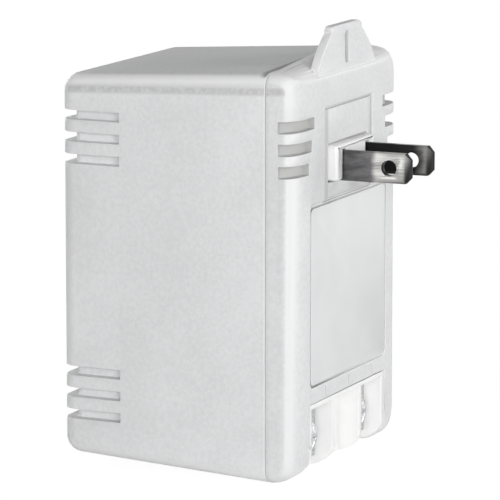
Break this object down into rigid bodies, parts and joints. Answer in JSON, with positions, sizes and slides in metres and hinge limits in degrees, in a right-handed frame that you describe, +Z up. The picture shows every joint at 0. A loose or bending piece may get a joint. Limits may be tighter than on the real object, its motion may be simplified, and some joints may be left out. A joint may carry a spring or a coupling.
{
  "type": "plug-in ac transformer",
  "caption": "Wall plug-in transformer: drafted case with wrapped grip grooves, pillowed cover with securing tab, flat blades and a screw terminal block below.",
  "frame": {"origin": "middle of the overall width and depth (blades included), at the level of the lowest edge", "axes": "+Z up towards the securing tab, -Y out of the wall side along the blades, +X across"},
  "size_m": [0.0584, 0.0708, 0.0931],
  "materials": {
    "shell_plastic": "fine moulded grain, pale grey-white",
    "white_plastic": "satin white moulding",
    "label_stock": "satin, bare",
    "blade_metal": "nickel plated",
    "plated_steel": "zinc plated",
    "core_steel": "varnished lamination edges",
    "bobbin_nylon": "natural nylon",
    "winding_copper": "enamelled copper wire",
    "winding_tape": "polyester tape",
    "foam": "closed-cell foam",
    "black_wire": "insulated wire",
    "white_wire": "insulated wire",
    "secondary_wire": "insulated wire"
  },
  "bodies": {
    "root": {"rear_case": "shell_plastic", "front_cover": "shell_plastic", "rating_label": "label_stock", "blade_block": "white_plastic", "terminal_block": "white_plastic", "blade_left": "blade_metal", "blade_right": "blade_metal", "terminal_plate_left": "plated_steel", "terminal_plate_right": "plated_steel", "terminal_screw_left": "plated_steel", "terminal_screw_right": "plated_steel", "e_core": "core_steel", "i_core": "core_steel", "core_clamp": "plated_steel", "bobbin": "bobbin_nylon", "primary_winding": "winding_copper", "secondary_winding": "winding_copper", "primary_tape": "winding_tape", "secondary_tape": "winding_tape", "thermal_cutoff": "plated_steel", "core_pad": "foam", "primary_lead_left": "black_wire", "primary_lead_right": "white_wire", "secondary_lead_left": "secondary_wire", "secondary_lead_right": "secondary_wire"}
  },
  "joints": []
}
